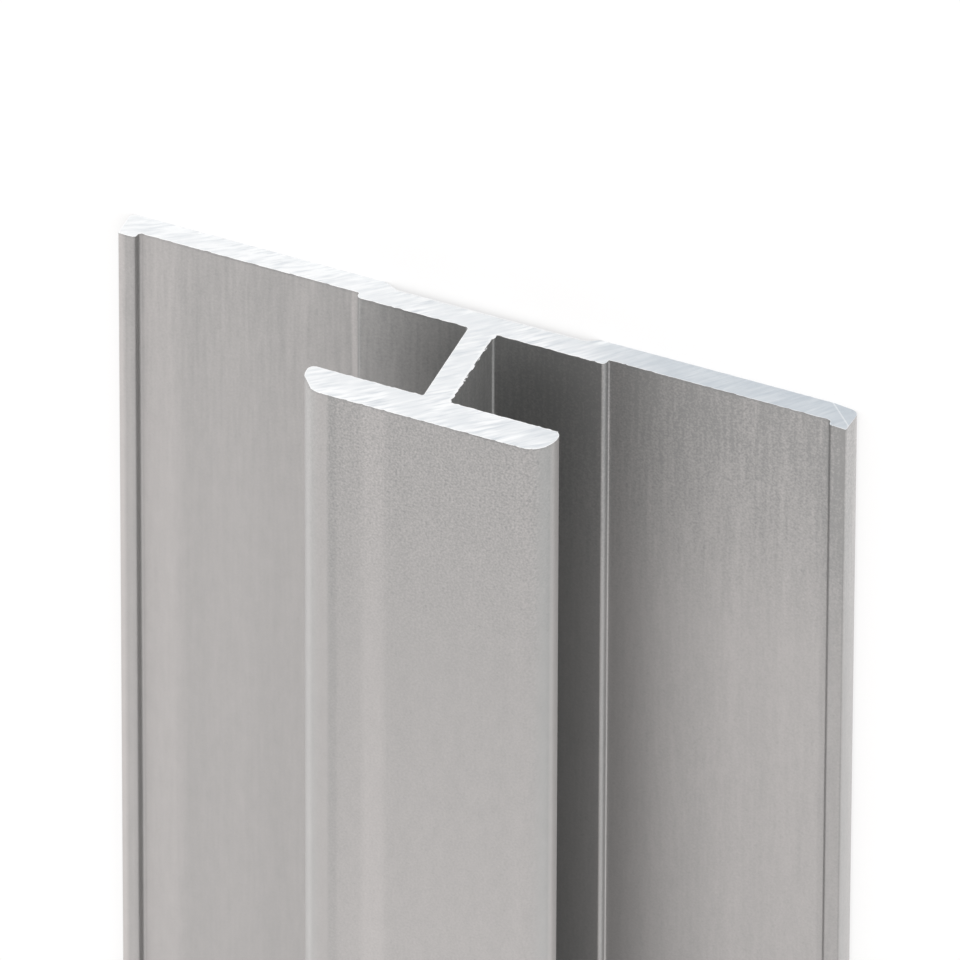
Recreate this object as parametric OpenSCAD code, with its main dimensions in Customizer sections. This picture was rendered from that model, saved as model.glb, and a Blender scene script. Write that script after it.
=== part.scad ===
// Aluminium H profile that joins two panels edge to edge, one extruded length of stock.
// The bar lies on its back plate along X, front flange up, with the origin under its middle.

/* [Bar] */
// Length of the bar, as it is sold
bar_length = 1000; // [100:10:6000]

/* [Back plate] */
// Width of the back plate over both lips
plate_width = 45; // [34:0.5:90]
// Wall of the back plate
plate_wall = 1.5; // [1.2:0.1:3]
// Height of the lips and the centre pad above the wings
step_height = 0.45; // [0.3:0.05:0.8]
// Width of the lip along each long edge
lip_width = 1.1; // [0.8:0.1:2.5]
// Radius on the outer edges of each lip
lip_round = 0.25; // [0.1:0.05:0.3]
// Radius on the inner edge of each lip, and of the fillet at its foot
lip_inner_round = 0.1; // [0.05:0.05:0.15]

/* [Centre pad] */
// Width of the centre pad
pad_width = 15.4; // [10:0.2:24]
// Radius at the top and at the foot of the step beside the pad
pad_round = 0.15; // [0.05:0.05:0.4]

/* [Back recess] */
// Width of the recess in the back, at its mouth
recess_width = 13.4; // [8:0.2:20]
// Depth of the recess in the back
recess_depth = 0.45; // [0.2:0.05:0.7]
// Width that the slope at each side of the recess takes
recess_slope = 0.9; // [0.3:0.1:1.5]

/* [Web] */
// Thickness of the web
web_thickness = 1.5; // [1.2:0.1:3]
// Fillet between the web and the centre pad
web_fillet = 0.2; // [0.1:0.05:1]
// Fillet between the web and the front flange
flange_fillet = 0.15; // [0.1:0.05:1]

/* [Panel slots] */
// Clear height of the slot that takes a panel
slot_height = 6.6; // [4.5:0.1:20]

/* [Front flange] */
// Width of the front flange
flange_width = 15.5; // [10:0.5:30]
// Thickness of the front flange
flange_thickness = 2.1; // [1.5:0.1:4]
// Radius of the two long front edges
front_round = 1.6; // [0.5:0.1:3]
// Radius of the two long edges beside the slots
slot_round = 0.4; // [0.1:0.05:0.5]

/* [Hidden] */
$fn = 64;

// Overlap that lets neighbouring areas fuse, and cuts run past an edge
overlap = 0.05;

plate_edge = plate_width / 2;
lip_side = plate_edge - lip_width;
pad_side = pad_width / 2;
pad_top = plate_wall + step_height;
flange_bottom = pad_top + slot_height;
flange_top = flange_bottom + flange_thickness;

// The pad's two radii share the height of its step, and the front radius stops short of the slot's edge
pad_radius = min(pad_round, step_height / 2);
front_radius = min(front_round, flange_thickness - slot_round - overlap);

// The children and their mirror image in the middle plane of the bar
module both_sides() {
    children();
    mirror([1, 0]) children();
}

// Area outside a rounded corner whose tip is at the origin and whose metal is to the left and below
module corner_cut(radius) {
    difference() {
        translate([-radius, -radius]) square(radius + overlap);
        translate([-radius, -radius]) circle(radius);
    }
}

// Fillet in an inner corner at the origin, with metal to the left and below
module corner_fill(radius) {
    difference() {
        translate([-overlap, -overlap]) square(radius + overlap);
        translate([radius, radius]) circle(radius);
    }
}

// Shallow trough over one wing, between the centre pad and the lip, with its rounded brinks
module wing_trough() {
    translate([pad_side, plate_wall]) square([lip_side - pad_side, step_height + overlap]);
    translate([pad_side, pad_top]) corner_cut(pad_radius);
    translate([lip_side, pad_top]) mirror([1, 0]) corner_cut(lip_inner_round);
}

// Fillets along both sides of one wing, where the pad and the lip rise from it
module wing_fillets() {
    translate([pad_side, plate_wall]) corner_fill(pad_radius);
    translate([lip_side, plate_wall]) mirror([1, 0]) corner_fill(lip_inner_round);
}

// Shallow recess in the back, which keeps the wall even behind the pad
module back_recess() {
    mouth = recess_width / 2;
    polygon([
        [-mouth, -overlap],
        [mouth, -overlap],
        [mouth, 0],
        [mouth - recess_slope, recess_depth],
        [-mouth + recess_slope, recess_depth],
        [-mouth, 0]
    ]);
}

// Back plate: a trough over each wing leaves the lips and the centre pad standing
module back_plate() {
    difference() {
        translate([-plate_edge, 0]) square([plate_width, pad_top]);
        both_sides() wing_trough();
        back_recess();
        both_sides() translate([plate_edge, pad_top]) corner_cut(lip_round);
        both_sides() translate([plate_edge, 0]) mirror([0, 1]) corner_cut(lip_round);
    }
    both_sides() wing_fillets();
}

// Web between the plate and the flange, with its four fillets
module web() {
    side = web_thickness / 2;
    translate([-side, pad_top - overlap])
        square([web_thickness, slot_height + 2 * overlap]);
    both_sides() translate([side, pad_top]) corner_fill(web_fillet);
    both_sides() translate([side, flange_bottom]) mirror([0, 1]) corner_fill(flange_fillet);
}

// Front flange, rounded on the face that is seen
module front_flange() {
    edge = flange_width / 2;
    difference() {
        translate([-edge, flange_bottom]) square([flange_width, flange_thickness]);
        both_sides() translate([edge, flange_top]) corner_cut(front_radius);
        both_sides() translate([edge, flange_bottom]) mirror([0, 1]) corner_cut(slot_round);
    }
}

// The whole bar: one section, extruded along X
module h_profile() {
    color("silver")
        rotate([90, 0, 90])
        linear_extrude(bar_length, center = true) {
            back_plate();
            web();
            front_flange();
        }
}

h_profile();
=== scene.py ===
"""Looks of an aluminium H profile that joins two panels: the bar, its floor, its light and its camera."""

import math
import random

import bmesh
import bpy
from mathutils import Matrix, Vector


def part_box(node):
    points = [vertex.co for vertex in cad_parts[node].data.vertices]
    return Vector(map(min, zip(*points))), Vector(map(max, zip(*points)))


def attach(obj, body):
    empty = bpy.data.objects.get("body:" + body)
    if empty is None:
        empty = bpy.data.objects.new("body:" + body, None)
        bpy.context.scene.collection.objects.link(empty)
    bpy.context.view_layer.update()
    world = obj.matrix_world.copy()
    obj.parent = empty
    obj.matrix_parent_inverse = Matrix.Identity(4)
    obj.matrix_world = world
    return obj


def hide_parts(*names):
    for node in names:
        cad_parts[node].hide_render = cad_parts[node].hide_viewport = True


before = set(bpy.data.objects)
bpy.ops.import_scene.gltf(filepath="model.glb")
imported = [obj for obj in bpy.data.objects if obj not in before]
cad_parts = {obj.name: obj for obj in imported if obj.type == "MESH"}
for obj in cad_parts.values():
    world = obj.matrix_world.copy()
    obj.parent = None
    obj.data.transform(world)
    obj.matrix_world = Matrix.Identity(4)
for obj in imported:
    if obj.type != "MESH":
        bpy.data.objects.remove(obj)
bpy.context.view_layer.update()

# The profile bar: one length of aluminium, pressed hot through a die, so its section is the same all along.
# It is bare metal that keeps its satin mill finish, with faint lines along it that the die drew.
# A saw cut it to length, which left bright ends with blade marks, and burrs where the teeth came out.
MM = 0.001
TINY = MM / 1000
bar_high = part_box("h_profile")[1]
bar_end = bar_high.x
plate_edge = bar_high.y
flange_top = bar_high.z

plate_wall = 1.5 * MM
step_height = 0.45 * MM
pad_top = plate_wall + step_height
lip_width = 1.1 * MM
lip_side = plate_edge - lip_width
lip_back_round = 0.45 * MM
lip_front_round = 0.08 * MM
lip_inner_round = 0.22 * MM
pad_side = 7.7 * MM
pad_top_round = 0.28 * MM
pad_foot_round = 0.1 * MM
recess_depth = 0.45 * MM
recess_floor_side = 5.8 * MM
recess_mouth_side = 6.7 * MM
recess_round = 0.12 * MM
web_side = 0.75 * MM
web_foot_round = 0.2 * MM
web_head_round = 0.15 * MM
flange_thickness = 2.1 * MM
flange_bottom = flange_top - flange_thickness
flange_side = 7.75 * MM
slot_round = 0.4 * MM
front_round = 1.6 * MM
round_segments = 6
front_round_segments = 14
sharp_angle = math.radians(30)

# Corners of the half section at +Y, from the middle of the back round to the middle of the front:
# place across the bar, height, and radius of the edge there
half_section = [
    (0.0, recess_depth, 0.0),
    (recess_floor_side, recess_depth, recess_round),
    (recess_mouth_side, 0.0, recess_round),
    (plate_edge, 0.0, lip_back_round),
    (plate_edge, pad_top, lip_front_round),
    (lip_side, pad_top, lip_inner_round),
    (lip_side, plate_wall, lip_inner_round),
    (pad_side, plate_wall, pad_foot_round),
    (pad_side, pad_top, pad_top_round),
    (web_side, pad_top, web_foot_round),
    (web_side, flange_bottom, web_head_round),
    (flange_side, flange_bottom, slot_round),
    (flange_side, flange_top, front_round),
    (0.0, flange_top, 0.0),
]


def draw_section(bar):
    """The whole section as one flat face at the lower end of the bar: half of it drawn, and mirrored."""
    corners = [bar.verts.new((-bar_end, across, height)) for across, height, radius in half_section]
    half = bar.faces.new(corners)
    bmesh.ops.mirror(bar, geom=[half, *half.edges, *half.verts], axis='Y', merge_dist=TINY)
    middle = [edge for edge in bar.edges if max(abs(vert.co.y) for vert in edge.verts) < TINY]
    bmesh.ops.dissolve_edges(bar, edges=middle, use_verts=True)
    return bar.faces[:]


def press_through_die(bar, section):
    """The section drawn out along X into the full length."""
    pressed = bmesh.ops.extrude_face_region(bar, geom=section)
    far_verts = [item for item in pressed["geom"] if isinstance(item, bmesh.types.BMVert)]
    bmesh.ops.translate(bar, verts=far_verts, vec=(2 * bar_end, 0, 0))
    bmesh.ops.recalc_face_normals(bar, faces=bar.faces[:])


def lies_at(edge, across, height):
    """True if an edge runs along the bar at this corner of the section, on either side."""
    first, second = [vert.co for vert in edge.verts]
    along = abs(first.x - second.x) > bar_end
    return along and math.hypot(abs(first.y) - across, first.z - height) < TINY


def round_long_edges(bar):
    """Each corner of the section gets its own radius, along the whole bar."""
    for across, height, radius in half_section:
        if radius == 0:
            continue
        long_edges = [edge for edge in bar.edges if lies_at(edge, across, height)]
        segments = front_round_segments if radius == front_round else round_segments
        bmesh.ops.bevel(
            bar, geom=long_edges, offset=radius, offset_type='OFFSET', segments=segments,
            profile=0.5, affect='EDGES', material=-1, clamp_overlap=False,
        )


# The sawn ends: the blade's centre lay off the bar's left back corner, and its teeth came out at the right.
# Values named least and most are shares of a size, between which chance picks
MILLED = 0
SAWN = 1
blade_across = 70 * MM
blade_height = -75 * MM
mark_spacing = 0.2 * MM
web_mark_spacing = 0.13 * MM
least_spacing = 0.7
most_spacing = 1.4
mark_depth = 0.008 * MM
cut_below_end = 0.03 * MM
collar_length = 0.25 * MM
rim_width = 0.07 * MM
rim_drop = 0.02 * MM
least_drop = 0.5
most_drop = 1.5
rim_nick = 0.05 * MM
nick_rarity = 4
burr_reach = 0.21 * MM
least_burr = 0.45
least_burr_depth = 0.3
most_burr_depth = 1.2
burr_foot = 1.0 * MM
foot_growth = 0.5
saw_seed = 7

# Values of the worn attribute: on a rim or a crease, and where a knock pressed the end face smooth
WORN = 1.0
PRESSED = -1.0


def end_geometry(bar, side, lowest, highest):
    """Sawn faces of one end between two heights, with their edges and corners, for the next cut."""
    faces = []
    for face in bar.faces:
        middle = face.calc_center_median()
        if face.material_index == SAWN and middle.x * side > 0 and lowest < middle.z < highest:
            faces.append(face)
    edges = {edge for face in faces for edge in face.edges}
    verts = {vert for face in faces for vert in face.verts}
    return [*faces, *edges, *verts]


def cut_off(bar, side):
    """One end face with its narrow broken rim, as the saw leaves it, above a short collar of the sides."""
    everything = [*bar.faces, *bar.edges, *bar.verts]
    collar = Vector((side * (bar_end - collar_length), 0, 0))
    bmesh.ops.bisect_plane(bar, geom=everything, dist=TINY, plane_co=collar, plane_no=(1, 0, 0))
    face = max(bar.faces, key=lambda item: item.normal.x * side * item.calc_area())
    rim = bmesh.ops.inset_individual(bar, faces=[face], thickness=rim_width, use_even_offset=True)
    for sawn in [face, *rim["faces"]]:
        sawn.material_index = SAWN


def split_members(bar, side):
    """Cuts one end face into plate, web and flange, so that the marks of one stop at the next."""
    for height in (pad_top, flange_bottom):
        place = Vector((side * bar_end, 0, height))
        bmesh.ops.bisect_plane(bar, geom=end_geometry(bar, side, 0, flange_top), dist=TINY,
                               plane_co=place, plane_no=(0, 0, 1))


def blade_mark(bar, side, across, height, lowest, highest, depth_layer, depth):
    """One pass of a tooth: a line cut into the end face, at right angles to the blade's radius there."""
    place = Vector((side * bar_end, across, height))
    radius = Vector((0, across - blade_across, height - blade_height))
    geometry = end_geometry(bar, side, lowest, highest)
    cut = bmesh.ops.bisect_plane(bar, geom=geometry, dist=TINY, plane_co=place, plane_no=radius)
    for item in cut["geom_cut"]:
        if isinstance(item, bmesh.types.BMVert):
            item[depth_layer] = depth


def stations(first, last, spacing, chance):
    """Places from first to last, about this far apart, unevenly."""
    place = first
    while place < last:
        yield place
        place += spacing * chance.uniform(least_spacing, most_spacing)


def saw_marks(bar, side, depth_layer, chance):
    """All blade marks of one end, on the plate, the web and the flange in turn."""
    plate_middle = pad_top / 2
    flange_middle = (flange_bottom + flange_top) / 2
    for across in stations(-plate_edge, plate_edge, mark_spacing, chance):
        blade_mark(bar, side, across, plate_middle, 0, pad_top, depth_layer, chance.random() * mark_depth)
    for height in stations(pad_top, flange_bottom + web_side, web_mark_spacing, chance):
        blade_mark(bar, side, 0, height, pad_top, flange_bottom, depth_layer, chance.random() * mark_depth)
    for across in stations(-flange_side, flange_side, mark_spacing, chance):
        blade_mark(bar, side, across, flange_middle, flange_bottom, flange_top, depth_layer,
                   chance.random() * mark_depth)


def sink_marks(bar, side, depth_layer, worn_layer, chance):
    """Moves the sawn corners to their depth, nicks the rim, and leaves burrs where the teeth came out."""
    end_verts = {vert for item in end_geometry(bar, side, 0, flange_top)
                 if isinstance(item, bmesh.types.BMFace) for vert in item.verts}
    for vert in sorted(end_verts, key=lambda item: tuple(item.co)):
        on_rim = any(face.material_index != SAWN for face in vert.link_faces)
        depth = cut_below_end + vert[depth_layer]
        if on_rim:
            vert[worn_layer] = WORN
            depth = cut_below_end + rim_drop * chance.uniform(least_drop, most_drop)
            if vert.co.z > plate_wall - TINY:
                vert.co.z -= rim_nick * chance.random() ** nick_rarity
        teeth_came_out = on_rim and pad_top < vert.co.z < flange_bottom and vert.co.y < 0
        if teeth_came_out:
            by_the_foot = max(0, 1 - (vert.co.z - pad_top) / burr_foot)
            vert.co.y -= burr_reach * chance.uniform(least_burr, 1) * (1 + foot_growth * by_the_foot)
            depth = cut_below_end * chance.uniform(least_burr_depth, most_burr_depth)
        vert.co.x = side * (bar_end - depth)


# Where the bar was knocked: its right back corner, and the left tip of the flange, both at the same end.
# Each knock bends that end face down beyond a line from first to last, and the line stays as a bright crease
knocked_end = 1
crease_width = 0.09 * MM
back_corner_first = (-22.6 * MM, 1.7 * MM)
back_corner_last = (-21.0 * MM, 0.1 * MM)
back_corner_slope = 0.16
tip_first = (7.6 * MM, flange_top - 1.03 * MM)
tip_last = (7.04 * MM, flange_top - 0.37 * MM)
tip_slope = 1.2


def break_corner(bar, first, last, lowest, highest, slope, finish, worn_layer):
    """Bends a corner of the knocked end down, to the right of the line from first to last."""
    line = Vector((0, last[0] - first[0], last[1] - first[1]))
    outward = line.cross(Vector((1, 0, 0))).normalized()
    place = Vector((knocked_end * bar_end, *first))
    # The crease itself is cut last, and only its corners are marked as worn
    for offset in (crease_width, -crease_width, 0):
        geometry = end_geometry(bar, knocked_end, lowest, highest)
        cut = bmesh.ops.bisect_plane(bar, geom=geometry, dist=TINY,
                                     plane_co=place + outward * offset, plane_no=outward)
    for item in cut["geom_cut"]:
        if isinstance(item, bmesh.types.BMVert):
            item[worn_layer] = WORN
    geometry = end_geometry(bar, knocked_end, lowest, highest)
    for item in geometry:
        if isinstance(item, bmesh.types.BMFace) and (item.calc_center_median() - place).dot(outward) > TINY:
            item.material_index = finish
    for item in geometry:
        if isinstance(item, bmesh.types.BMVert) and (item.co - place).dot(outward) > TINY:
            item.co.x -= knocked_end * slope * (item.co - place).dot(outward)
            if item[worn_layer] == 0:
                item[worn_layer] = PRESSED


chance = random.Random(saw_seed)
bar = bmesh.new()
press_through_die(bar, draw_section(bar))
round_long_edges(bar)
depth_layer = bar.verts.layers.float.new("mark_depth")
worn_layer = bar.verts.layers.float.new("worn")
for side in (1, -1):
    cut_off(bar, side)
    split_members(bar, side)
    saw_marks(bar, side, depth_layer, chance)
    sink_marks(bar, side, depth_layer, worn_layer, chance)
break_corner(bar, back_corner_first, back_corner_last, 0, pad_top, back_corner_slope, SAWN, worn_layer)
break_corner(bar, tip_first, tip_last, flange_bottom, flange_top, tip_slope, MILLED, worn_layer)
for face in bar.faces:
    face.smooth = face.material_index != SAWN
bar.verts.layers.float.remove(depth_layer)

profile_mesh = bpy.data.meshes.new("profile_bar")
bar.to_mesh(profile_mesh)
bar.free()
profile_mesh.set_sharp_from_angle(angle=sharp_angle)
profile_bar = bpy.data.objects.new("profile_bar", profile_mesh)
bpy.context.collection.objects.link(profile_bar)
flat_faces = profile_bar.modifiers.new("flat_faces", 'WEIGHTED_NORMAL')
flat_faces.keep_sharp = True

# A mask pushes nothing where it has this level
NEUTRAL = 0.5


def new_material(name):
    """A node material: its tree, its shader and the piece's own coordinates."""
    material = bpy.data.materials.new(name)
    material.use_nodes = True
    tree = material.node_tree
    place = tree.nodes.new("ShaderNodeTexCoord").outputs["Object"]
    return material, tree, tree.nodes["Principled BSDF"], place


def math_node(tree, operation, first, second):
    """Result of one sum, whose inputs are sockets or plain numbers."""
    node = tree.nodes.new("ShaderNodeMath")
    node.operation = operation
    for socket, value in zip(node.inputs, (first, second)):
        if isinstance(value, (int, float)):
            socket.default_value = value
        else:
            tree.links.new(value, socket)
    return node.outputs["Value"]


def make_grain_group():
    """Node group: grain of the metal, with its own number of features per metre along each axis."""
    group = bpy.data.node_groups.new("metal_grain", 'ShaderNodeTree')
    group.interface.new_socket("Place", in_out='INPUT', socket_type='NodeSocketVector')
    group.interface.new_socket("Features", in_out='INPUT', socket_type='NodeSocketVector')
    group.interface.new_socket("Detail", in_out='INPUT', socket_type='NodeSocketFloat')
    group.interface.new_socket("Grain", in_out='OUTPUT', socket_type='NodeSocketFloat')
    entry = group.nodes.new("NodeGroupInput")
    leaving = group.nodes.new("NodeGroupOutput")
    stretch = group.nodes.new("ShaderNodeVectorMath")
    stretch.operation = 'MULTIPLY'
    noise = group.nodes.new("ShaderNodeTexNoise")
    noise.inputs["Scale"].default_value = 1.0
    group.links.new(entry.outputs["Place"], stretch.inputs[0])
    group.links.new(entry.outputs["Features"], stretch.inputs[1])
    group.links.new(stretch.outputs["Vector"], noise.inputs["Vector"])
    group.links.new(entry.outputs["Detail"], noise.inputs["Detail"])
    group.links.new(noise.outputs["Fac"], leaving.inputs["Grain"])
    return group


def grain(tree, place, features, detail):
    """The grain group with this material's own values, as a mask."""
    node = tree.nodes.new("ShaderNodeGroup")
    node.node_tree = grain_group
    node.inputs["Features"].default_value = features
    node.inputs["Detail"].default_value = detail
    tree.links.new(place, node.inputs["Place"])
    return node.outputs["Grain"]


def spread(tree, mask, mask_low, mask_high, low, high):
    """The mask's range from mask_low to mask_high, spread from low to high."""
    span = tree.nodes.new("ShaderNodeMapRange")
    span.inputs["From Min"].default_value = mask_low
    span.inputs["From Max"].default_value = mask_high
    span.inputs["To Min"].default_value = low
    span.inputs["To Max"].default_value = high
    tree.links.new(mask, span.inputs["Value"])
    return span.outputs["Result"]


def push(tree, level, *layers):
    """A level that masks push up and down: each mask counts from neutral, times its weight."""
    for mask, weight in layers:
        offset = math_node(tree, 'MULTIPLY', math_node(tree, 'SUBTRACT', mask, NEUTRAL), weight)
        level = math_node(tree, 'ADD', offset, level)
    return level


def colour_between(tree, mask, first, second):
    """Colour that goes from the first to the second as the mask goes from 0 to 1."""
    ramp = tree.nodes.new("ShaderNodeValToRGB")
    ramp.color_ramp.elements[0].color = (*first, 1)
    ramp.color_ramp.elements[1].color = (*second, 1)
    tree.links.new(mask, ramp.inputs["Fac"])
    return ramp.outputs["Color"]


def relief(tree, mask, height):
    """Surface relief of this full height."""
    bump = tree.nodes.new("ShaderNodeBump")
    bump.inputs["Strength"].default_value = 1.0
    bump.inputs["Distance"].default_value = height
    tree.links.new(mask, bump.inputs["Height"])
    return bump.outputs["Normal"]


grain_group = make_grain_group()

# Mill finish: a speckled satin, smoother where the die polished the flange's two rounded edges, streaked on
# the back plate, with broad bands along the bar. Near a saw cut the grain is clearer and the plate is darker,
# most on its right. Painted shade darkens the flange's face toward the cut, darkens the slots, and draws a
# thin line along the cut itself as the burr's shadow. Painted light brightens the plate's narrow sides, and
# painted light and shade on strips along the bar stand in for highlights on rounded edges and for shade from
# the flange and the lips.
mill_dark = (0.352, 0.357, 0.356)
mill_light = (0.651, 0.635, 0.628)
plate_tone = 0.38
flange_tone = 0.5
dark_roughness = 0.52
light_roughness = 0.42
speckle_height = 0.001 * MM
left_polish = 5.75 * MM
right_polish = -7.1 * MM
polish_blend = 0.12 * MM
# How far from the sawn end the painted shade on the flange's face reaches
flange_shade_length = 45 * MM
# Near the cut the plate is darker and the grain clearer: fully within the near distance, falling to a
# lingering share beyond the far one
near_cut_near = 3 * MM
near_cut_far = 18 * MM
lingering_near_cut = 0.3
# A thin painted shadow of the burr along the cut: its length and its blend
burr_shadow_length = 0.12 * MM
burr_shadow_blend = 0.12 * MM

# Grains of the mill finish: features per metre along the bar, across it and up, and steps of finer detail
band_grain = ((0.5, 420, 420), 1)
streak_grain = ((260, 4200, 4200), 1)
speckle_grain = ((7500, 7500, 7500), 2)
mottle_grain = ((700, 1400, 1400), 2)
pit_grain = ((4300, 4300, 4300), 0)
pit_brink = 0.68
pit_floor = 0.8

# How far each effect pushes the tone, lighter or darker. A pair is for the left and the right of the plate,
# for the flange and its polished edge, or for the back and the front of the plate's narrow sides
band_push = 0.16
mottle_push = 0.15
plate_speckle_pushes = (0.4, 1.2)
flange_speckle_pushes = (1.3, 0.5)
streak_pushes = (0.34, 0.55)
pit_share = -0.3
# Painted shade on the flange's face toward the saw cut, less on its left rounded edge
flange_shade_pushes = (-0.5, -0.1)
# The plate darker toward the saw cut, from its middle to its right
near_cut_pushes = (-0.12, -0.4)
# Painted shadow of the burr along the cut
burr_shadow_push = -0.3
# Painted shade in the slots under the flange
slot_shade_push = -0.34
# Painted light on the plate's narrow sides, most toward the back
side_light_pushes = (1.1, 0.4)

# Strips along the bar, lighter or darker. All but one are painted light: highlights on rounded edges, and
# shade where the flange and the lips shade the plate. The one on the flange's face is a line that the die
# drew.
# Columns: place across it, half width, and push on the plate and on the flange
painted_light_and_die_strips = [
    # Painted highlight on the left lip's outer rounded edge, painted shadow along its inner edge, and painted
    # light on the left wing beside the lip
    (22.5 * MM, 0.4 * MM, 0.8, 0),
    (21.4 * MM, 0.3 * MM, -0.25, 0),
    (20.2 * MM, 1.5 * MM, 0.26, 0),
    # Painted highlights on the left pad's top edge and on the flange's left rounded edge, and painted shade
    # where that round meets the flange's face
    (7.98 * MM, 0.2 * MM, 0.5, 0),
    (7.3 * MM, 0.45 * MM, 0, 0.35),
    (5.5 * MM, 0.3 * MM, 0, -0.2),
    # A line that the die drew on the flange's face
    (2.95 * MM, 0.75 * MM, 0, 0.25),
    # Painted highlight on the flange's right rounded edge, painted shade from the flange on the right wing,
    # and painted shade beside the right lip, on its top and along its outer edge
    (-7.8 * MM, 0.2 * MM, 0, 1.0),
    (-11.5 * MM, 3.5 * MM, -0.15, 0),
    (-21.15 * MM, 0.3 * MM, -0.2, 0),
    (-21.95 * MM, 0.6 * MM, -0.3, 0),
    (-22.4 * MM, 0.05 * MM, -0.4, 0),
]
strip_core = 0.6
strip_reach = 1.2


def painted_light_and_die_strip(tree, across, place, half_width):
    """Mask of a strip along the bar at this place across it: 1 in its middle, neutral off it."""
    away = math_node(tree, 'ABSOLUTE', math_node(tree, 'SUBTRACT', across, place), 0)
    return spread(tree, away, strip_core * half_width, strip_reach * half_width, 1, NEUTRAL)


def across_plate(tree, hold, across, start, pushes):
    """Weight that goes from the left push at start to the right push at the pad's right side."""
    return math_node(tree, 'MULTIPLY', hold, spread(tree, across, start, -pad_side, *pushes))


mill_finish, tree, shader, place = new_material("mill_finish")
spot = tree.nodes.new("ShaderNodeSeparateXYZ")
tree.links.new(place, spot.inputs["Vector"])
along = math_node(tree, 'ABSOLUTE', spot.outputs["X"], 0)
across = spot.outputs["Y"]
height = spot.outputs["Z"]
off_centre = math_node(tree, 'ABSOLUTE', across, 0)

# Where each effect is
on_flange = spread(tree, height, flange_bottom + slot_round / 2, flange_bottom + slot_round, 0, 1)
on_plate = math_node(tree, 'SUBTRACT', 1, on_flange)
on_left = spread(tree, across, left_polish - polish_blend, left_polish + polish_blend, 0, 1)
on_right = spread(tree, across, right_polish + polish_blend, right_polish - polish_blend, 0, 1)
polished = math_node(tree, 'MULTIPLY', on_flange, math_node(tree, 'MAXIMUM', on_left, on_right))
# Painted shade: the pads and the web, in the slots under the flange
in_slot = spread(tree, off_centre, pad_side, pad_side + pad_foot_round, 1, NEUTRAL)
on_side = spread(tree, off_centre, plate_edge - lip_front_round, plate_edge, NEUTRAL, 1)
holds_near_cut = math_node(tree, 'MULTIPLY', on_plate, spread(tree, on_side, NEUTRAL, 1, 1, 0))
burr_shadow_end = bar_end - burr_shadow_length
# Painted shade: the flange's face darker toward the saw cut
flange_shade = spread(tree, along, bar_end - flange_shade_length, bar_end, NEUTRAL, 1)
# Near the saw cut the grain is clearer and the plate darker
near_cut = spread(tree, along, bar_end - near_cut_far, bar_end - near_cut_near, lingering_near_cut, 1)
# Painted shadow of the burr, a thin dark line along the cut
burr_shadow = spread(tree, along, burr_shadow_end - burr_shadow_blend, burr_shadow_end, NEUTRAL, 1)
bands = grain(tree, place, *band_grain)
streaks = grain(tree, place, *streak_grain)
speckle = grain(tree, place, *speckle_grain)
mottle = grain(tree, place, *mottle_grain)
pits = spread(tree, grain(tree, place, *pit_grain), pit_brink, pit_floor, NEUTRAL, 1)

# How strongly it shows there
plate_speckle = across_plate(tree, on_plate, across, pad_side, plate_speckle_pushes)
flange_speckle = math_node(tree, 'MULTIPLY', on_flange, spread(tree, polished, 0, 1, *flange_speckle_pushes))
speckle_weight = math_node(tree, 'MULTIPLY', near_cut, math_node(tree, 'ADD', plate_speckle, flange_speckle))
pit_weight = math_node(tree, 'MULTIPLY', speckle_weight, pit_share)
plate_streak = across_plate(tree, on_plate, across, pad_side, streak_pushes)
streak_weight = math_node(tree, 'MULTIPLY', near_cut, plate_streak)
flange_shade_weight = math_node(tree, 'MULTIPLY', on_flange, spread(tree, on_left, 0, 1, *flange_shade_pushes))
near_cut_weight = across_plate(tree, holds_near_cut, across, 0, near_cut_pushes)
slot_shade_weight = math_node(tree, 'MULTIPLY', on_plate, slot_shade_push)
# Painted light on the plate's narrow sides, most toward the back
side_light_weight = spread(tree, height, 0, pad_top, *side_light_pushes)

bare_tone = spread(tree, on_flange, 0, 1, plate_tone, flange_tone)
grained_tone = push(tree, bare_tone, (speckle, speckle_weight), (streaks, streak_weight), (bands, band_push),
                    (mottle, mottle_push), (pits, pit_weight))
tone = push(tree, grained_tone, (flange_shade, flange_shade_weight), (near_cut, near_cut_weight), (burr_shadow, burr_shadow_push),
            (in_slot, slot_shade_weight), (on_side, side_light_weight))
for strip_place, half_width, plate_push, flange_push in painted_light_and_die_strips:
    strip_weight = spread(tree, on_flange, 0, 1, plate_push, flange_push)
    tone = push(tree, tone, (painted_light_and_die_strip(tree, across, strip_place, half_width), strip_weight))
tree.links.new(colour_between(tree, tone, mill_dark, mill_light), shader.inputs["Base Color"])
tree.links.new(spread(tree, tone, 0, 1, dark_roughness, light_roughness), shader.inputs["Roughness"])
tree.links.new(relief(tree, speckle, speckle_height), shader.inputs["Normal"])
shader.inputs["Metallic"].default_value = 1.0

# Sawn metal: broken streaks along the arcs that the teeth followed, clearer in some patches than in others,
# and fainter where the blade ran out, with a bright worn rim. Painted shade makes the end face nearly white
# at the left and darker and bluer toward the right, most where the blade ran out.
# The darkest colour, bluish, is that of the streaks and of the painted shade; the brightest is nearly white
sawn_dark = (0.475, 0.53, 0.585)
sawn_bright = (0.965, 0.98, 0.99)
sawn_tone = 0.89
saw_mark_height = 0.004 * MM
blade_reach = math.hypot(blade_across, blade_height)
streak_wobble = 0.12 * MM
# Painted shade across the end face: none left of the start, full at the end, and more where the blade ran out
right_shade_start = 10 * MM
right_shade_end = -22 * MM
run_out_start = -6 * MM
run_out_end = -10 * MM

# Grains of the sawn metal: features per metre along each axis, and steps of finer detail.
# The streaks' first two axes are the blade's radius and the arc round its centre
arc_grain = ((4600, 520, 0), 2)
wobble_grain = ((700, 700, 700), 1)
patch_grain = ((420, 420, 420), 2)

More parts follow.
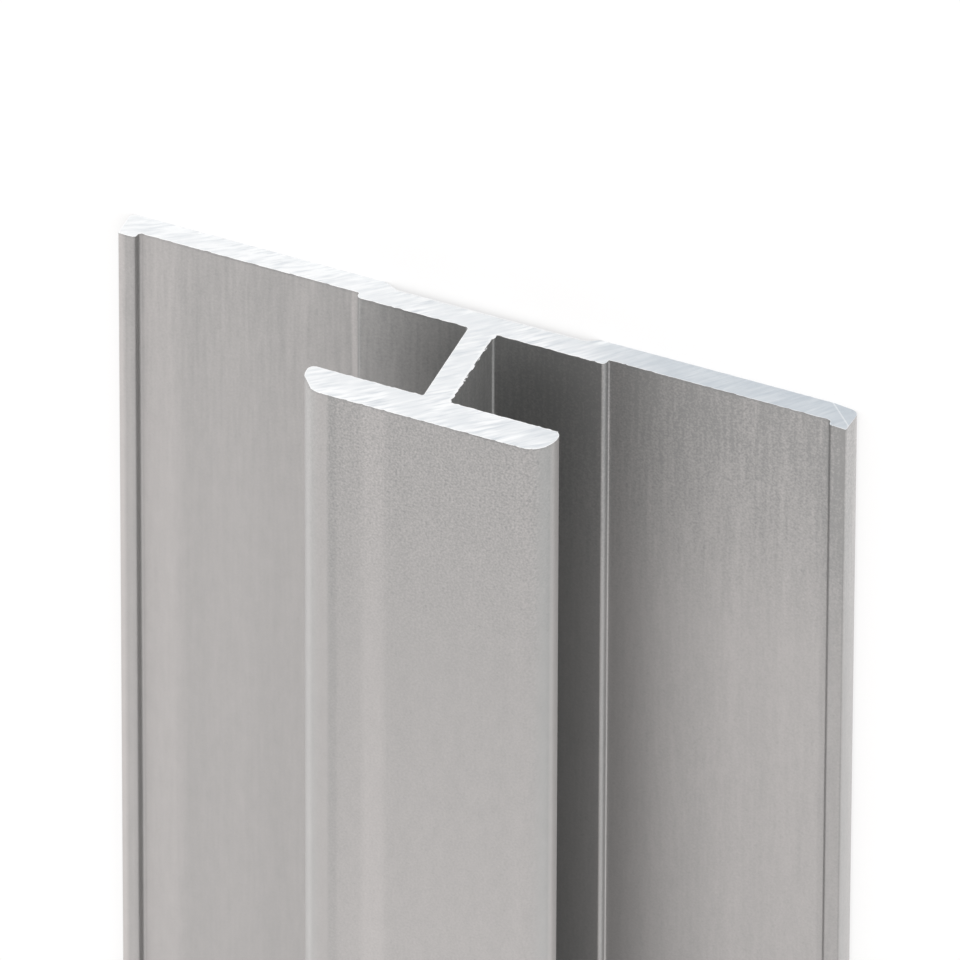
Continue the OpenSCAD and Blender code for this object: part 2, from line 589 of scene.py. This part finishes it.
# A pair of levels of a mask, and the pair of values that the metal has there
plain_to_marked_patch = (0.35, 0.65)
patch_streak_pushes = (0.4, 2.0)
faint_to_clear_streak = (0.3, 0.7)
streak_roughness = (0.42, 0.32)

# How much of the streaks is left where the blade ran out and where a knock pressed them,
# and how far each other effect pushes the tone, lighter or darker
run_out_share = 0.35
pressed_share = 0.3
patch_push = 0.3
# Painted shade toward the right of the end face, and where the blade ran out
right_shade_push = -0.66
run_out_shade_push = -0.66
rim_push = 0.8

sawn_metal, tree, shader, place = new_material("sawn_metal")
from_blade = tree.nodes.new("ShaderNodeVectorMath")
from_blade.operation = 'SUBTRACT'
from_blade.inputs[1].default_value = (0, blade_across, blade_height)
tree.links.new(place, from_blade.inputs[0])
blade_parts = tree.nodes.new("ShaderNodeSeparateXYZ")
tree.links.new(from_blade.outputs["Vector"], blade_parts.inputs["Vector"])
across_squared = math_node(tree, 'POWER', math_node(tree, 'ABSOLUTE', blade_parts.outputs["Y"], 0), 2)
height_squared = math_node(tree, 'POWER', math_node(tree, 'ABSOLUTE', blade_parts.outputs["Z"], 0), 2)
radius = math_node(tree, 'SQRT', math_node(tree, 'ADD', across_squared, height_squared), 0)
wobbly_radius = push(tree, radius, (grain(tree, place, *wobble_grain), streak_wobble))
turned = math_node(tree, 'ARCTAN2', blade_parts.outputs["Y"], blade_parts.outputs["Z"])
along_arc = math_node(tree, 'MULTIPLY', turned, blade_reach)
arc_place = tree.nodes.new("ShaderNodeCombineXYZ")
tree.links.new(wobbly_radius, arc_place.inputs["X"])
tree.links.new(along_arc, arc_place.inputs["Y"])
bar_parts = tree.nodes.new("ShaderNodeSeparateXYZ")
tree.links.new(place, bar_parts.inputs["Vector"])
worn_node = tree.nodes.new("ShaderNodeAttribute")
worn_node.attribute_name = "worn"
worn = worn_node.outputs["Fac"]

streaks = grain(tree, arc_place.outputs["Vector"], *arc_grain)
patches = grain(tree, place, *patch_grain)
# Painted shade toward the right of the end face; the run-out mask also thins the streaks
right_shade = spread(tree, bar_parts.outputs["Y"], right_shade_start, right_shade_end, NEUTRAL, 1)
run_out = spread(tree, bar_parts.outputs["Y"], run_out_start, run_out_end, NEUTRAL, 1)
on_rim = spread(tree, worn, 0, WORN, NEUTRAL, 1)
patch_weight = spread(tree, patches, *plain_to_marked_patch, *patch_streak_pushes)
left_by_run_out = spread(tree, run_out, NEUTRAL, 1, 1, run_out_share)
left_by_knocks = spread(tree, worn, PRESSED, 0, pressed_share, 1)
left_over = math_node(tree, 'MULTIPLY', left_by_run_out, left_by_knocks)
streak_weight = math_node(tree, 'MULTIPLY', patch_weight, left_over)
tone = push(tree, sawn_tone, (streaks, streak_weight), (patches, patch_push), (right_shade, right_shade_push),
            (run_out, run_out_shade_push), (on_rim, rim_push))
tree.links.new(colour_between(tree, tone, sawn_dark, sawn_bright), shader.inputs["Base Color"])
tree.links.new(spread(tree, streaks, *faint_to_clear_streak, *streak_roughness), shader.inputs["Roughness"])
tree.links.new(relief(tree, streaks, saw_mark_height), shader.inputs["Normal"])
shader.inputs["Metallic"].default_value = 1.0

profile_mesh.materials.append(mill_finish)
profile_mesh.materials.append(sawn_metal)
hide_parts("h_profile")
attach(profile_bar, "root")

# The floor: a plain white studio table, which is no part of the object.
# It shows white to the camera and in the metal, and still takes the bar's shadow.
floor_half = 40.0
floor_white = (0.88, 0.88, 0.88, 1)
floor_roughness = 0.9
floor_glow = 0.68
floor_shape = bmesh.new()
bmesh.ops.create_grid(floor_shape, x_segments=1, y_segments=1, size=floor_half)
floor_mesh = bpy.data.meshes.new("floor")
floor_shape.to_mesh(floor_mesh)
floor_shape.free()
floor = bpy.data.objects.new("floor", floor_mesh)
bpy.context.collection.objects.link(floor)


def seen_directly(tree):
    """1 for rays that come from the camera, straight or by way of metal or glass, and 0 for light."""
    path = tree.nodes.new("ShaderNodeLightPath")
    by_metal_or_glass = math_node(tree, 'MAXIMUM', path.outputs["Is Glossy Ray"],
                                  path.outputs["Is Transmission Ray"])
    return math_node(tree, 'MAXIMUM', path.outputs["Is Camera Ray"], by_metal_or_glass)


floor_paint, tree, shader = new_material("floor_paint")[:3]
shader.inputs["Base Color"].default_value = floor_white
shader.inputs["Roughness"].default_value = floor_roughness
shader.inputs["Specular IOR Level"].default_value = 0.0
glow = tree.nodes.new("ShaderNodeEmission")
both = tree.nodes.new("ShaderNodeMixShader")
tree.links.new(math_node(tree, 'MULTIPLY', seen_directly(tree), floor_glow), both.inputs["Fac"])
tree.links.new(shader.outputs["BSDF"], both.inputs[1])
tree.links.new(glow.outputs["Emission"], both.inputs[2])
tree.links.new(both.outputs["Shader"], tree.nodes["Material Output"].inputs["Surface"])
floor_mesh.materials.append(floor_paint)

# The light: a pale studio all round, neutral and brighter near the floor, slightly warm overhead,
# and one large soft lamp.
studio_low_colour = (0.975, 0.985, 0.98)
studio_high_colour = (1.0, 0.957, 0.946)
studio_low = 0.2
studio_high = 0.7
studio_level = 1.12
studio_left_gain = 0.05
studio_top_loss = 0.2
lamp_side = 1.6
lamp_place = Vector((1.4, -0.7, 1.8))
lamp_power = 20.0

studio = bpy.data.worlds.new("studio")
bpy.context.scene.world = studio
studio.use_nodes = True
tree = studio.node_tree
background = tree.nodes["Background"]
direction = tree.nodes.new("ShaderNodeSeparateXYZ")
tree.links.new(tree.nodes.new("ShaderNodeTexCoord").outputs["Generated"], direction.inputs["Vector"])
overhead = spread(tree, direction.outputs["Z"], studio_low, studio_high, 0, 1)
studio_colour = colour_between(tree, overhead, studio_low_colour, studio_high_colour)
tree.links.new(studio_colour, background.inputs["Color"])
left_gain = math_node(tree, 'MULTIPLY', direction.outputs["Y"], studio_left_gain)
top_loss = math_node(tree, 'MULTIPLY', direction.outputs["Z"], studio_top_loss)
studio_strength = math_node(tree, 'ADD', math_node(tree, 'SUBTRACT', left_gain, top_loss), studio_level)
tree.links.new(studio_strength, background.inputs["Strength"])

lamp = bpy.data.objects.new("softbox", bpy.data.lights.new("softbox", 'AREA'))
bpy.context.collection.objects.link(lamp)
lamp.data.size = lamp_side
lamp.data.energy = lamp_power
lamp.location = lamp_place
lamp.rotation_mode = 'QUATERNION'
lamp.rotation_quaternion = lamp_place.to_track_quat('Z', 'Y')
lamp.visible_camera = False

# The camera: it looks down on the bar from beyond the sawn end, turned so that the bar runs down the picture.
# The pixel values place the middle of the bar's end, at its back, in a square picture.
picture_side = 960
end_in_picture = (494.0, 310.3)
focal_pixels = 29724.5
sensor_width = 36.0
distance = 1.6928
far_limit = 100
turn = math.radians(22.77)
rise = math.radians(39.73)
roll = math.radians(0.20)

toward = Vector((math.sin(rise), -math.cos(rise) * math.sin(turn), math.cos(rise) * math.cos(turn)))
sideways = Vector((0, -math.cos(turn), -math.sin(turn)))
upward = Vector((math.cos(rise), math.sin(rise) * math.sin(turn), -math.sin(rise) * math.cos(turn)))
picture_right = sideways * math.cos(roll) + upward * math.sin(roll)
picture_up = upward * math.cos(roll) - sideways * math.sin(roll)
per_pixel = distance / focal_pixels
camera_place = Vector((bar_end, 0, 0)) + toward * distance
camera_place -= picture_right * (end_in_picture[0] - picture_side / 2) * per_pixel
camera_place += picture_up * (end_in_picture[1] - picture_side / 2) * per_pixel

camera = bpy.data.objects.new("camera", bpy.data.cameras.new("camera"))
bpy.context.collection.objects.link(camera)
camera.data.sensor_width = sensor_width
camera.data.lens = focal_pixels / picture_side * sensor_width
camera.data.clip_end = far_limit
camera.matrix_world = Matrix((picture_right, picture_up, toward)).transposed().to_4x4()
camera.matrix_world.translation = camera_place
bpy.context.scene.camera = camera
bpy.context.scene.view_settings.view_transform = 'Standard'
